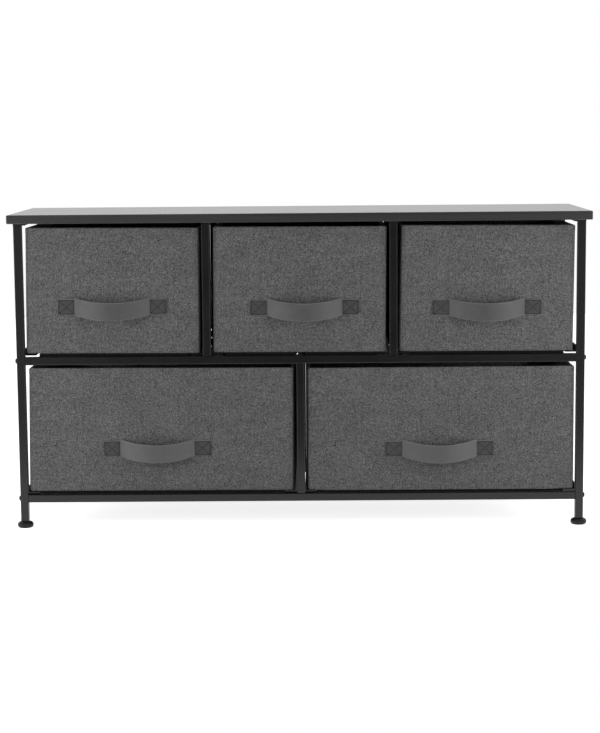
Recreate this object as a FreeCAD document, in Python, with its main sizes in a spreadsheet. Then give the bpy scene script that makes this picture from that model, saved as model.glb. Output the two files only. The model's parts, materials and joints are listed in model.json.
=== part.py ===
import FreeCAD, Part
import math
import os
import re
import Sketcher

# Fabric drawer dresser. A bolted frame of square steel tube stands on four screw-in
# feet and carries a laminated board. Three small drawers hang above two wide ones on
# L-shaped runners. Each drawer is a fabric box stiffened by loose boards, with a strap
# handle sewn to its front. Millimetres, +Z up, front towards -Y. The origin is on the
# floor, under the middle of the whole object with its handles.

DRIVING_SIZES = (
    # Top board
    ("overall_height", 545),
    ("board_width", 1000),
    ("board_depth", 300),
    ("board_thickness", 15),
    ("board_edge_bevel", 1),
    ("side_overhang", 10),
    ("front_overhang", 8),
    # Square tube frame
    ("tube_size", 14),
    ("tube_wall", 1),
    ("tube_corner_radius", 1.6),
    ("post_bottom", 12),
    ("bottom_rail_underside", 44.5),
    ("tie_thickness", 3),
    ("side_tie_lip", 5),
    # Drawer runners
    ("runner_thickness", 1.5),
    ("runner_flange", 20),
    ("runner_upstand", 12),
    ("runner_lift", 3),
    ("runner_setback", 2),
    # Bolts, plugs and screws
    ("bolt_diameter", 6),
    ("bolt_hole_play", 0.2),
    ("thread_play", 0.05),
    ("bolt_head_diameter", 10.5),
    ("bolt_head_height", 3.3),
    ("bolt_head_bevel", 1.8),
    ("bolt_bite", 12),
    ("access_hole_play", 0.5),
    ("socket_width", 4),
    ("socket_depth", 1.8),
    ("plug_length", 15),
    ("plug_play", 0.05),
    ("screw_diameter", 4),
    ("screw_hole_play", 0.25),
    ("screw_head_diameter", 8),
    ("screw_head_height", 2.4),
    ("screw_bite", 10),
    ("screw_tip_room", 1),
    ("screw_inset", 52),
    # Feet
    ("pad_diameter", 28),
    ("pad_thickness", 9.5),
    ("pad_lower_bevel", 3),
    ("pad_upper_bevel", 2.5),
    ("hub_diameter", 11),
    ("foot_play", 0.3),
    ("stud_reach", 17),
    ("stud_seat", 4),
    ("stud_chamfer", 1),
    # Drawers
    ("drawer_headroom", 6.5),
    ("drawer_depth", 276),
    ("drawer_inset", 3),
    ("drawer_side_gap", 5),
    ("drawer_lift", 0.3),
    ("drawer_corner_radius", 4),
    ("fabric_thickness", 1),
    ("wall_board_thickness", 2.5),
    ("pocket_play", 0.1),
    ("pocket_end_seam", 3),
    ("lining_gap", 6),
    ("base_board_thickness", 3),
    ("base_board_play", 1),
    # Strap handles
    ("strap_width", 30),
    ("strap_thickness", 2),
    ("strap_span", 130),
    ("strap_tab", 27.5),
    ("strap_bow", 23),
    ("strap_droop", 6),
    ("strap_root_radius", 18),
    ("upper_left_handle_height", 82.2),
    ("upper_left_handle_shift", -0.9),
    ("upper_middle_handle_height", 79),
    ("upper_middle_handle_shift", 8.1),
    ("upper_right_handle_height", 77),
    ("upper_right_handle_shift", -0.8),
    ("lower_left_handle_height", 76.4),
    ("lower_left_handle_shift", -7.7),
    ("lower_right_handle_height", 72.9),
    ("lower_right_handle_shift", -1.3),
)

# Sizes that follow from the driving ones. Levels are above the floor, places across
# and along the frame are measured from the frame's middle.
DERIVED_SIZES = {
    "board_underside": "overall_height - board_thickness",
    "post_top": "board_underside - tie_thickness",
    "bottom_rail_top": "bottom_rail_underside + tube_size",
    "mid_rail_underside": "(bottom_rail_top + post_top - tube_size) / 2",
    "mid_rail_top": "mid_rail_underside + tube_size",
    "bay_height": "mid_rail_underside - bottom_rail_top",
    "half_tube": "tube_size / 2",
    "post_outer": "board_width / 2 - side_overhang",
    "post_middle": "post_outer - half_tube",
    "post_inner": "post_outer - tube_size",
    "side_tie_middle": "post_outer - (tube_size + side_tie_lip) / 2",
    "frame_depth": "board_depth - 2 * front_overhang",
    "screw_row": "frame_depth / 2 - screw_inset",
    "tube_row": "frame_depth / 2 - half_tube",
    "upper_bay": "(2 * post_inner - 2 * tube_size) / 3",
    "lower_bay": "(2 * post_inner - tube_size) / 2",
    "upper_divider_middle": "(upper_bay + tube_size) / 2",
    "drawer_front": "drawer_inset - frame_depth / 2",
    "runner_top": "runner_lift + runner_thickness",
    "drawer_above_rail": "runner_top + drawer_lift",
    "drawer_height": "bay_height - drawer_above_rail - drawer_headroom",
    "strap_reach": "sqrt(strap_bow ^ 2 + strap_droop ^ 2)",
    "strap_bend": "2 * atan(2 * strap_reach / strap_span)",
    "strap_bow_radius": "strap_span / 2 / sin(strap_bend) - strap_root_radius",
    "handle_front": "drawer_front - strap_bow * (strap_reach + strap_thickness) / strap_reach",
    "frame_middle": "-(handle_front + board_depth / 2) / 2",
    "drawer_wall": "2 * fabric_thickness + wall_board_thickness + 2 * pocket_play",
    "bolt_hole_radius": "bolt_diameter / 2 + bolt_hole_play",
    "access_hole_radius": "bolt_head_diameter / 2 + access_hole_play",
    "thread_radius": "bolt_diameter / 2 + thread_play",
    "screw_hole_radius": "screw_diameter / 2 + screw_hole_play",
    "plug_half": "half_tube - tube_wall - plug_play",
}

# The least cosine between an edge and an axis that it follows
PARALLEL = 0.999
SIDES = (("left", "-1"), ("right", "1"))
ROWS = (("front", "-1"), ("rear", "1"))

document = FreeCAD.newDocument("fabric_drawer_dresser")
sheet = document.addObject("Spreadsheet::Sheet", "sheet")
for row, (alias, size) in enumerate(DRIVING_SIZES, start=1):
    sheet.set(f"A{row}", alias)
    sheet.set(f"B{row}", str(size))
    sheet.setAlias(f"B{row}", alias)
document.recompute()

driving_names = {alias for alias, size in DRIVING_SIZES}
nodes = []


def formula(text):
    """Writes derived sizes out in full and points each driving size at its cell."""
    def resolve(match):
        name = match.group(0)
        if name in DERIVED_SIZES:
            return f"({formula(DERIVED_SIZES[name])})"
        if name in driving_names:
            return f"sheet.{name}"
        return name
    return re.sub(r"[a-z][a-z_]+", resolve, text)


def bind(thing, path, text):
    thing.setExpression(path, formula(text))


def place(thing, across, along, up):
    """Puts a piece at a place in the frame, which stands frame_middle behind the origin."""
    bind(thing, "Placement.Base.x", across)
    bind(thing, "Placement.Base.y", f"frame_middle + {along}")
    bind(thing, "Placement.Base.z", up)


def new_body(label, across="0", along="0", up="0"):
    body = document.addObject("PartDesign::Body", label)
    body.Label = label
    place(body, across, along, up)
    nodes.append(body)
    return body


def origin_feature(body, role):
    return next(part for part in body.Origin.OriginFeatures if part.Role == role)


def new_sketch(body, name, plane, across="0", up="0", out="0"):
    """A sketch on one of the body's own planes, its origin moved in that plane's axes."""
    sketch = body.newObject("Sketcher::SketchObject", f"{body.Label}_{name}")
    sketch.AttachmentSupport = [(origin_feature(body, plane), "")]
    sketch.MapMode = "FlatFace"
    bind(sketch, "AttachmentOffset.Base.x", across)
    bind(sketch, "AttachmentOffset.Base.y", up)
    bind(sketch, "AttachmentOffset.Base.z", out)
    return sketch


def hold(sketch, name, constraint, text):
    """Adds a dimension to a sketch and ties it to a formula."""
    index = sketch.addConstraint(constraint)
    sketch.renameConstraint(index, name)
    bind(sketch, f"Constraints.{name}", text)


def polygon(sketch, name, corners):
    """A closed outline whose corners lie at the given places from the sketch's origin."""
    count = len(corners)
    first = sketch.GeometryCount
    rough = []
    for corner in range(count):
        turn = 2 * math.pi * corner / count
        rough.append(FreeCAD.Vector(math.cos(turn), math.sin(turn), 0))
    for corner in range(count):
        sketch.addGeometry(Part.LineSegment(rough[corner], rough[(corner + 1) % count]), False)
    for corner, (across, up) in enumerate(corners):
        line = first + corner
        following = first + (corner + 1) % count
        sketch.addConstraint(Sketcher.Constraint("Coincident", line, 2, following, 1))
        at_x = Sketcher.Constraint("DistanceX", -1, 1, line, 1, rough[corner].x)
        hold(sketch, f"{name}_across_{corner}", at_x, across)
        at_y = Sketcher.Constraint("DistanceY", -1, 1, line, 1, rough[corner].y)
        hold(sketch, f"{name}_up_{corner}", at_y, up)


def rectangle(sketch, name, left, right, low, high):
    polygon(sketch, name, ((left, low), (right, low), (right, high), (left, high)))


def square(sketch, name, half):
    rectangle(sketch, name, f"-({half})", half, f"-({half})", half)


def hexagon(sketch, name, width):
    """A hexagon of the given width across its flats, with two corners on the X axis."""
    corners = []
    for corner in range(6):
        turn = f"{60 * corner} deg"
        corners.append((f"{width} / sqrt(3) * cos({turn})", f"{width} / sqrt(3) * sin({turn})"))
    polygon(sketch, name, corners)


def circle(sketch, name, across, up, radius):
    index = sketch.GeometryCount
    sketch.addGeometry(Part.Circle(FreeCAD.Vector(1, 1, 0), FreeCAD.Vector(0, 0, 1), 1), False)
    hold(sketch, f"{name}_across", Sketcher.Constraint("DistanceX", -1, 1, index, 3, 1), across)
    hold(sketch, f"{name}_up", Sketcher.Constraint("DistanceY", -1, 1, index, 3, 1), up)
    hold(sketch, f"{name}_radius", Sketcher.Constraint("Radius", index, 1), radius)


def pad(body, sketch, length, backwards=False):
    feature = body.newObject("PartDesign::Pad", f"{sketch.Name}_pad")
    feature.Profile = sketch
    feature.Reversed = backwards
    bind(feature, "Length", length)
    document.recompute()
    return feature


def cut(body, sketch, depth=None, upwards=False):
    """Cuts a sketch to a depth, or right through both ways, and sees that material went."""
    before = body.Shape.Volume
    feature = body.newObject("PartDesign::Pocket", f"{sketch.Name}_cut")
    feature.Profile = sketch
    if depth is None:
        feature.Type = "ThroughAll"
        feature.SideType = "Symmetric"
    else:
        feature.Reversed = upwards
        bind(feature, "Length", depth)
    document.recompute()
    if not body.Shape.Volume < before:
        raise RuntimeError(f"{feature.Name} cuts nothing")
    return feature


def turn(body, sketch, axis):
    """Turns a half profile about one of its sketch's own axes."""
    feature = body.newObject("PartDesign::Revolution", f"{sketch.Name}_turned")
    feature.Profile = sketch
    feature.ReferenceAxis = (sketch, [axis])
    feature.Angle = 360
    document.recompute()
    return feature


def fillet(body, base, edges, radius):
    feature = body.newObject("PartDesign::Fillet", f"{base.Name}_fillet")
    feature.Base = (base, edges)
    bind(feature, "Radius", radius)
    document.recompute()


def bevel(body, base, edges, size):
    feature = body.newObject("PartDesign::Chamfer", f"{base.Name}_bevel")
    feature.Base = (base, edges)
    bind(feature, "Size", size)
    document.recompute()


def outer_edges(feature, axis):
    """The four edges along an axis that lie furthest from it, or from the middle of the piece."""
    middle = feature.Shape.BoundBox.Center
    found = []
    for index, edge in enumerate(feature.Shape.Edges, start=1):
        along = edge.Vertexes[-1].Point - edge.Vertexes[0].Point
        if along.Length > 0 and abs(along.normalize().dot(axis)) > PARALLEL:
            reach = (edge.CenterOfMass - middle).cross(axis).Length
            found.append((reach, f"Edge{index}"))
    found.sort(reverse=True)
    return [name for reach, name in found[:4]]


def mirrored(body, name, plane):
    feature = body.newObject("PartDesign::Mirrored", f"{body.Label}_{name}")
    feature.TransformMode = "Whole shape"
    feature.MirrorPlane = (origin_feature(body, plane), [""])
    body.Tip = feature
    document.recompute()


def repeated(body, name, features, axis, distance):
    """A second copy of the given features, or of the whole body, at a distance along an axis."""
    feature = body.newObject("PartDesign::LinearPattern", f"{body.Label}_{name}")
    if features:
        feature.Originals = features
    else:
        feature.TransformMode = "Whole shape"
    feature.Direction = (origin_feature(body, axis), [""])
    feature.Occurrences = 2
    bind(feature, "Length", distance)
    body.Tip = feature
    document.recompute()


def square_tube(label, section_plane, axis, length, bore_plane, bores, across, along, up):
    """A length of square tube with rounded corners, drilled across where a bolt passes."""
    body = new_body(label, across, along, up)
    section = new_sketch(body, "section", section_plane)
    square(section, "outside", "half_tube")
    square(section, "inside", "half_tube - tube_wall")
    tube = pad(body, section, length)
    fillet(body, tube, outer_edges(tube, axis), "tube_corner_radius")
    if bores:
        drilling = new_sketch(body, "bores", bore_plane)
        for index, (bore_across, bore_up) in enumerate(bores):
            circle(drilling, f"bore_{index}", bore_across, bore_up, "bolt_hole_radius")
        cut(body, drilling)
    return body


def upright(label, across, row, low, high, bores=()):
    heights = [("0", f"{height} - ({low})") for height in bores]
    square_tube(label, "XY_Plane", FreeCAD.Vector(0, 0, 1), f"{high} - ({low})", "YZ_Plane",
                heights, across, f"{row} * tube_row", low)


def rail(label, row, underside, bores, access):
    """A rail with bolt holes, some with a wider hole below that lets the bolt's head into the tube."""
    places = [(f"post_inner + ({place_across})", "0") for place_across in bores]
    body = square_tube(label, "YZ_Plane", FreeCAD.Vector(1, 0, 0), "2 * post_inner", "XY_Plane",
                       places, "-post_inner", f"{row} * tube_row", f"{underside} + half_tube")
    opening = new_sketch(body, "access", "XY_Plane")
    for index, place_across in enumerate(access):
        circle(opening, f"access_{index}", f"post_inner + ({place_across})", "0", "access_hole_radius")
    cut(body, opening, "tube_size")


def runner_section(sketch, side):
    """An L: a flange that points inwards under the drawer, and an upstand beside it."""
    polygon(sketch, "angle", (
        ("0", "0"),
        (f"{side} * runner_flange", "0"),
        (f"{side} * runner_flange", "runner_thickness"),
        (f"{side} * runner_thickness", "runner_thickness"),
        (f"{side} * runner_thickness", "runner_upstand"),
        ("0", "runner_upstand"),
    ))


RUNNER_LENGTH = "frame_depth - 2 * runner_setback"
RUNNER_START = "runner_setback - frame_depth / 2"


def side_runner(label, side, rail_top):
    body = new_body(label, f"{side} * post_inner", RUNNER_START, f"{rail_top} + runner_lift")
    section = new_sketch(body, "section", "XZ_Plane")
    runner_section(section, f"-({side})")
    pad(body, section, RUNNER_LENGTH, backwards=True)


def divider_runners(label, across, rail_top):
    """Two runners back to back on both sides of a divider."""
    body = new_body(label, across, RUNNER_START, f"{rail_top} + runner_lift")
    section = new_sketch(body, "section", "XZ_Plane", across="half_tube")
    runner_section(section, "1")
    pad(body, section, RUNNER_LENGTH, backwards=True)
    mirrored(body, "pair", "YZ_Plane")


def top_tie(label, across, width):
    """A flat strip across the tops of a front and a rear post, drilled for two board screws."""
    body = new_body(label, across, "0", "post_top")
    outline = new_sketch(body, "outline", "XY_Plane")
    rectangle(outline, "strip", f"-({width}) / 2", f"({width}) / 2", "-frame_depth / 2", "frame_depth / 2")
    pad(body, outline, "tie_thickness")
    drilling = new_sketch(body, "screw_holes", "XY_Plane")
    for row, row_sign in ROWS:
        circle(drilling, row, "0", f"{row_sign} * screw_row", "screw_hole_radius")
    cut(body, drilling)


def top_panel():
    """The board: all edges bevelled, blind pilot holes in its underside above the ties."""
    body = new_body("top_panel", "0", "0", "board_underside")
    outline = new_sketch(body, "outline", "XY_Plane")
    rectangle(outline, "board", "-board_width / 2", "board_width / 2", "-board_depth / 2", "board_depth / 2")
    board = pad(body, outline, "board_thickness")
    every_edge = [f"Edge{index}" for index in range(1, len(board.Shape.Edges) + 1)]
    bevel(body, board, every_edge, "board_edge_bevel")
    drilling = new_sketch(body, "pilot_holes", "XY_Plane")
    for side, side_sign in SIDES:
        for row, row_sign in ROWS:
            for tie, middle in (("leg", "side_tie_middle"), ("divider", "upper_divider_middle")):
                circle(drilling, f"{tie}_{side}_{row}", f"{side_sign} * {middle}",
                       f"{row_sign} * screw_row", "screw_diameter / 2 + thread_play")
    cut(body, drilling, "screw_bite + screw_tip_room", upwards=True)


def bolt(body, name, across, along, seat, way, grip):
    """An upright button-head bolt: its head on a seat, its shank one way through what it grips."""
    tip = f"{way} * ({grip} + bolt_bite)"
    profile = new_sketch(body, f"{name}_profile", "XZ_Plane", across, seat, f"-({along})")
    polygon(profile, "half", (
        ("0", tip),
        ("bolt_diameter / 2", tip),
        ("bolt_diameter / 2", "0"),
        ("bolt_head_diameter / 2", "0"),
        ("bolt_head_diameter / 2", f"-({way}) * (bolt_head_height - bolt_head_bevel)"),
        ("bolt_head_diameter / 2 - bolt_head_bevel", f"-({way}) * bolt_head_height"),
        ("0", f"-({way}) * bolt_head_height"),
    ))
    return turn(body, profile, "V_Axis")


def divider_bolts():
    """Bolts inside the rails, up into the dividers' lower ends, and one down into the lower one's top."""
    body = new_body("divider_bolts")
    upper = bolt(body, "upper", "-upper_divider_middle", "-tube_row", "mid_rail_top - tube_wall", "1",
                 "tube_wall")
    repeated(body, "upper_pair", [upper], "X_Axis", "2 * upper_divider_middle")
    bolt(body, "lower_foot", "0", "-tube_row", "bottom_rail_top - tube_wall", "1", "tube_wall")
    bolt(body, "lower_head", "0", "-tube_row", "mid_rail_top", "-1", "tube_size")
    repeated(body, "rear_row", [], "Y_Axis", "2 * tube_row")


def frame_bolts():
    """Bolts through the posts into the rail ends, with bevelled heads and hexagon sockets."""
    body = new_body("frame_bolts")
    level = "bottom_rail_underside + half_tube"
    profile = new_sketch(body, "profile", "XZ_Plane", "post_outer", level, "tube_row")
    polygon(profile, "half", (
        ("-(tube_size + bolt_bite)", "0"),
        ("bolt_head_height", "0"),
        ("bolt_head_height", "bolt_head_diameter / 2 - bolt_head_bevel"),
        ("bolt_head_height - bolt_head_bevel", "bolt_head_diameter / 2"),
        ("0", "bolt_head_diameter / 2"),
        ("0", "bolt_diameter / 2"),
        ("-(tube_size + bolt_bite)", "bolt_diameter / 2"),
    ))
    turn(body, profile, "H_Axis")
    socket = new_sketch(body, "socket", "YZ_Plane", "-tube_row", level, "post_outer + bolt_head_height")
    hexagon(socket, "flats", "socket_width")
    cut(body, socket, "socket_depth")
    repeated(body, "two_heights", [], "Z_Axis", "mid_rail_underside - bottom_rail_underside")
    mirrored(body, "left_side", "YZ_Plane")
    mirrored(body, "rear_row", "XZ_Plane")


def top_panel_screws():
    """Pan-head screws up through the ties into the board."""
    body = new_body("top_panel_screws")
    for name, across in (("leg", "side_tie_middle"), ("divider", "upper_divider_middle")):
        profile = new_sketch(body, name, "XZ_Plane", across, "post_top", "screw_row")
        polygon(profile, "half", (
            ("0", "-screw_head_height"),
            ("screw_head_diameter / 2", "-screw_head_height"),
            ("screw_head_diameter / 2", "0"),
            ("screw_diameter / 2", "0"),
            ("screw_diameter / 2", "tie_thickness + screw_bite"),
            ("0", "tie_thickness + screw_bite"),
        ))
        turn(body, profile, "V_Axis")
    mirrored(body, "left_side", "YZ_Plane")
    mirrored(body, "rear_row", "XZ_Plane")


def plug(body, name, plane, across, up, out, backwards):
    """A square plug in a tube end, bored for a thread."""
    section = new_sketch(body, name, plane, across, up, out)
    square(section, "outside", "plug_half")
    circle(section, "thread", "0", "0", "thread_radius")
    pad(body, section, "plug_length", backwards)


def rail_plugs():
    body = new_body("rail_plugs")
    plug(body, "first", "YZ_Plane", "-tube_row", "bottom_rail_underside + half_tube", "post_inner", True)
    repeated(body, "two_heights", [], "Z_Axis", "mid_rail_underside - bottom_rail_underside")
    mirrored(body, "left_side", "YZ_Plane")
    mirrored(body, "rear_row", "XZ_Plane")


def divider_plugs():
    body = new_body("divider_plugs")
    plug(body, "lower_foot", "XY_Plane", "0", "-tube_row", "bottom_rail_top", False)
    plug(body, "lower_head", "XY_Plane", "0", "-tube_row", "mid_rail_underside", True)
    for side, side_sign in SIDES:
        plug(body, f"upper_{side}", "XY_Plane", f"{side_sign} * upper_divider_middle", "-tube_row",
             "mid_rail_top", False)
    mirrored(body, "rear_row", "XZ_Plane")


def leg_plugs():
    body = new_body("leg_plugs")
    plug(body, "first", "XY_Plane", "post_middle", "-tube_row", "post_bottom", False)
    mirrored(body, "left_side", "YZ_Plane")
    mirrored(body, "rear_row", "XZ_Plane")


def foot(label, across, along):
    """A moulded pad with bevelled rims and a hub, and the threaded stud moulded into it."""
    stud = new_body(f"{label}_stud", across, along, "stud_seat")
    stud_profile = new_sketch(stud, "profile", "XZ_Plane")
    stud_length = "post_bottom + stud_reach - stud_seat"
    polygon(stud_profile, "half", (
        ("0", "0"),
        ("bolt_diameter / 2", "0"),
        ("bolt_diameter / 2", f"{stud_length} - stud_chamfer"),
        ("bolt_diameter / 2 - stud_chamfer", stud_length),
        ("0", stud_length),
    ))
    turn(stud, stud_profile, "V_Axis")
    foot_pad = new_body(f"{label}_pad", across, along, "0")
    pad_profile = new_sketch(foot_pad, "profile", "XZ_Plane")
    polygon(pad_profile, "half", (
        ("0", "0"),
        ("pad_diameter / 2 - pad_lower_bevel", "0"),
        ("pad_diameter / 2", "pad_lower_bevel"),
        ("pad_diameter / 2", "pad_thickness - pad_upper_bevel"),
        ("pad_diameter / 2 - pad_upper_bevel", "pad_thickness"),
        ("hub_diameter / 2", "pad_thickness"),
        ("hub_diameter / 2", "post_bottom - foot_play"),
        ("thread_radius", "post_bottom - foot_play"),
        ("thread_radius", "stud_seat - thread_play"),
        ("0", "stud_seat - thread_play"),
    ))
    turn(foot_pad, pad_profile, "V_Axis")


def wall_board_outlines(sketch, width, play):
    """Four boards in plan, grown by a play: front and rear full width, sides between them."""
    outer = f"fabric_thickness + pocket_play - ({play})"
    inner = f"fabric_thickness + pocket_play + wall_board_thickness + ({play})"
    seam = f"drawer_wall + pocket_end_seam - ({play})"
    half = f"({width}) / 2"
    rectangle(sketch, "front", f"{seam} - {half}", f"{half} - ({seam})", outer, inner)
    rectangle(sketch, "rear", f"{seam} - {half}", f"{half} - ({seam})",
              f"drawer_depth - ({inner})", f"drawer_depth - ({outer})")
    rectangle(sketch, "left", f"{outer} - {half}", f"{inner} - {half}", seam, f"drawer_depth - ({seam})")
    rectangle(sketch, "right", f"{half} - ({inner})", f"{half} - ({outer})", seam,
              f"drawer_depth - ({seam})")


def drawer_fabric(label, width, across, along, up):
    """A fabric box with doubled walls: cavity, pockets for the wall boards and a slit to fill them."""
    half = f"({width}) / 2"
    body = new_body(label, across, along, up)
    outline = new_sketch(body, "outline", "XY_Plane")
    rectangle(outline, "box", f"-{half}", half, "0", "drawer_depth")
    box = pad(body, outline, "drawer_height")
    fillet(body, box, outer_edges(box, FreeCAD.Vector(0, 0, 1)), "drawer_corner_radius")
    cavity = new_sketch(body, "cavity", "XY_Plane", out="drawer_height")
    rectangle(cavity, "lining", f"drawer_wall - {half}", f"{half} - drawer_wall",
              "drawer_wall", "drawer_depth - drawer_wall")
    cut(body, cavity, "drawer_height - fabric_thickness")
    pockets = new_sketch(body, "pockets", "XY_Plane", out="fabric_thickness")
    wall_board_outlines(pockets, width, "pocket_play")
    cut(body, pockets, "drawer_height - 2 * fabric_thickness", upwards=True)
    seam = "drawer_wall + pocket_end_seam"
    slit = new_sketch(body, "slit", "XY_Plane", out="fabric_thickness")
    cross_corners = (
        (f"{seam} - {half}", "fabric_thickness"), (f"{half} - ({seam})", "fabric_thickness"),
        (f"{half} - ({seam})", seam), (f"{half} - fabric_thickness", seam),
        (f"{half} - fabric_thickness", f"drawer_depth - ({seam})"),
        (f"{half} - ({seam})", f"drawer_depth - ({seam})"),
        (f"{half} - ({seam})", "drawer_depth - fabric_thickness"),
        (f"{seam} - {half}", "drawer_depth - fabric_thickness"),
        (f"{seam} - {half}", f"drawer_depth - ({seam})"),
        (f"fabric_thickness - {half}", f"drawer_depth - ({seam})"),
        (f"fabric_thickness - {half}", seam), (f"{seam} - {half}", seam),
    )
    polygon(slit, "cross", cross_corners)
    cut(body, slit, "lining_gap", upwards=True)


def drawer_boards(name, width, across, along, up):
    walls = new_body(f"{name}_wall_boards", across, along, f"{up} + fabric_thickness")
    outlines = new_sketch(walls, "outlines", "XY_Plane")
    wall_board_outlines(outlines, width, "0")
    pad(walls, outlines, "drawer_height - 2 * fabric_thickness - pocket_play")
    base = new_body(f"{name}_base_board", across, along, f"{up} + fabric_thickness")
    outline = new_sketch(base, "outline", "XY_Plane")
    edge = "drawer_wall + base_board_play"
    rectangle(outline, "board", f"{edge} - ({width}) / 2", f"({width}) / 2 - ({edge})",
              edge, f"drawer_depth - ({edge})")
    pad(base, outline, "base_board_thickness")


def strap_handle(label, across, along, up):
    """A strap that lies flat on the drawer front at both ends and bows out and down between."""
    half_span = sheet.get("strap_span") / 2
    tab = sheet.get("strap_tab")
    root = sheet.get("strap_root_radius")
    reach = math.hypot(sheet.get("strap_bow"), sheet.get("strap_droop"))
    bend = 2 * math.atan(reach / half_span)
    bow = half_span / math.sin(bend) - root
    point = FreeCAD.Vector
    normal = point(0, 0, 1)
    quarter = math.pi / 2
    path = document.addObject("Sketcher::SketchObject", f"{label}_path")
    path.addGeometry(Part.LineSegment(point(-half_span - tab, 0, 0), point(-half_span, 0, 0)))
    left_root = Part.Circle(point(-half_span, root, 0), normal, root)
    path.addGeometry(Part.ArcOfCircle(left_root, -quarter, bend - quarter))
    middle = Part.Circle(point(0, reach - bow, 0), normal, bow)
    path.addGeometry(Part.ArcOfCircle(middle, quarter - bend, quarter + bend))
    right_root = Part.Circle(point(half_span, root, 0), normal, root)
    path.addGeometry(Part.ArcOfCircle(right_root, -quarter - bend, -quarter))
    path.addGeometry(Part.LineSegment(point(half_span, 0, 0), point(half_span + tab, 0, 0)))
    path.addConstraint(Sketcher.Constraint("Horizontal", 0))
    path.addConstraint(Sketcher.Constraint("PointOnObject", 0, 2, -1))
    path.addConstraint(Sketcher.Constraint("Tangent", 0, 2, 1, 1))
    path.addConstraint(Sketcher.Constraint("Tangent", 1, 2, 2, 2))
    path.addConstraint(Sketcher.Constraint("Tangent", 2, 1, 3, 1))
    path.addConstraint(Sketcher.Constraint("Tangent", 3, 2, 4, 1))
    path.addConstraint(Sketcher.Constraint("Symmetric", 0, 2, 4, 1, -2))
    path.addConstraint(Sketcher.Constraint("Symmetric", 0, 1, 4, 2, -2))
    hold(path, "left_root", Sketcher.Constraint("Radius", 1, root), "strap_root_radius")
    hold(path, "right_root", Sketcher.Constraint("Radius", 3, root), "strap_root_radius")
    hold(path, "tab", Sketcher.Constraint("DistanceX", 0, 1, 0, 2, tab), "strap_tab")
    hold(path, "span", Sketcher.Constraint("DistanceX", 0, 2, 4, 1, 2 * half_span), "strap_span")
    hold(path, "bow", Sketcher.Constraint("Radius", 2, bow), "strap_bow_radius")
    path.Placement.Rotation = FreeCAD.Rotation(FreeCAD.Vector(1, 0, 0), 180)
    bind(path, "Placement.Rotation.Angle", "180 deg + atan(strap_droop / strap_bow)")
    place(path, across, along, f"{up} - strap_width / 2")
    ribbon = document.addObject("Part::Offset2D", f"{label}_ribbon")
    ribbon.Source = path
    ribbon.Mode = "Skin"
    ribbon.Fill = True
    bind(ribbon, "Value", "strap_thickness")
    strap = document.addObject("Part::Extrusion", label)
    strap.Label = label
    strap.Base = ribbon
    strap.DirMode = "Custom"
    strap.Dir = FreeCAD.Vector(0, 0, 1)
    strap.Solid = True
    bind(strap, "LengthFwd", "strap_width")
    document.recompute()
    nodes.append(strap)


def drawer(name, bay, bay_middle, rail_top):
    width = f"{bay} - 2 * drawer_side_gap"
    low = f"{rail_top} + drawer_above_rail"
    drawer_fabric(f"{name}_drawer_fabric", width, bay_middle, "drawer_front", low)
    drawer_boards(f"{name}_drawer", width, bay_middle, "drawer_front", low)
    strap_handle(f"{name}_drawer_handle", f"{bay_middle} + {name}_handle_shift", "drawer_front",
                 f"{low} + {name}_handle_height")


def frame():
    top_panel()
    for side, side_sign in SIDES:
        for row, row_sign in ROWS:
            upright(f"{side}_{row}_post", f"{side_sign} * post_middle", row_sign, "post_bottom", "post_top",
                    ("bottom_rail_underside + half_tube", "mid_rail_underside + half_tube"))
        top_tie(f"{side}_top_tie", f"{side_sign} * side_tie_middle", "tube_size + side_tie_lip")
        side_runner(f"{side}_upper_runner", side_sign, "mid_rail_top")
        side_runner(f"{side}_lower_runner", side_sign, "bottom_rail_top")
        divider = f"upper_{side}_divider"
        middle = f"{side_sign} * upper_divider_middle"
        for row, row_sign in ROWS:
            upright(f"{divider}_{row}_post", middle, row_sign, "mid_rail_top", "post_top")
        top_tie(f"{divider}_top_tie", middle, "tube_size")
        divider_runners(f"{divider}_runners", middle, "mid_rail_top")
    for row, row_sign in ROWS:
        rail(f"{row}_mid_rail", row_sign, "mid_rail_underside",
             ("-upper_divider_middle", "0", "upper_divider_middle"),
             ("-upper_divider_middle", "upper_divider_middle"))
        rail(f"{row}_bottom_rail", row_sign, "bottom_rail_underside", ("0",), ("0",))
        upright(f"lower_divider_{row}_post", "0", row_sign, "bottom_rail_top", "mid_rail_underside")
    divider_runners("lower_divider_runners", "0", "bottom_rail_top")


def fasteners():
    frame_bolts()
    divider_bolts()
    top_panel_screws()
    rail_plugs()
    divider_plugs()
    leg_plugs()


def feet():
    for side, side_sign in SIDES:
        for row, row_sign in ROWS:
            foot(f"{side}_{row}_foot", f"{side_sign} * post_middle", f"{row_sign} * tube_row")


def drawers():
    for name, steps in (("upper_left", "-1"), ("upper_middle", "0"), ("upper_right", "1")):
        drawer(name, "upper_bay", f"{steps} * (upper_bay + tube_size)", "mid_rail_top")
    for name, steps in (("lower_left", "-1"), ("lower_right", "1")):
        drawer(name, "lower_bay", f"{steps} * (lower_bay + tube_size) / 2", "bottom_rail_top")


def check_and_write():
    """Stops on any failed object or shape, then writes each piece to its own file."""
    for thing in document.Objects:
        if "Invalid" in thing.State or "Error" in thing.State:
            raise RuntimeError(f"{thing.Label} failed: {thing.State}")
    for node in nodes:
        if node.Shape.isNull() or not node.Shape.isValid():
            raise RuntimeError(f"{node.Label} has no valid shape")
    os.makedirs("parts", exist_ok=True)
    for node in nodes:
        node.Shape.exportStep(f"parts/{node.Label}.step")


frame()
fasteners()
feet()
drawers()
document.recompute()
check_and_write()
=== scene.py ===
import json
import math

import bmesh
import bpy
from mathutils import Matrix, Vector, noise


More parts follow.
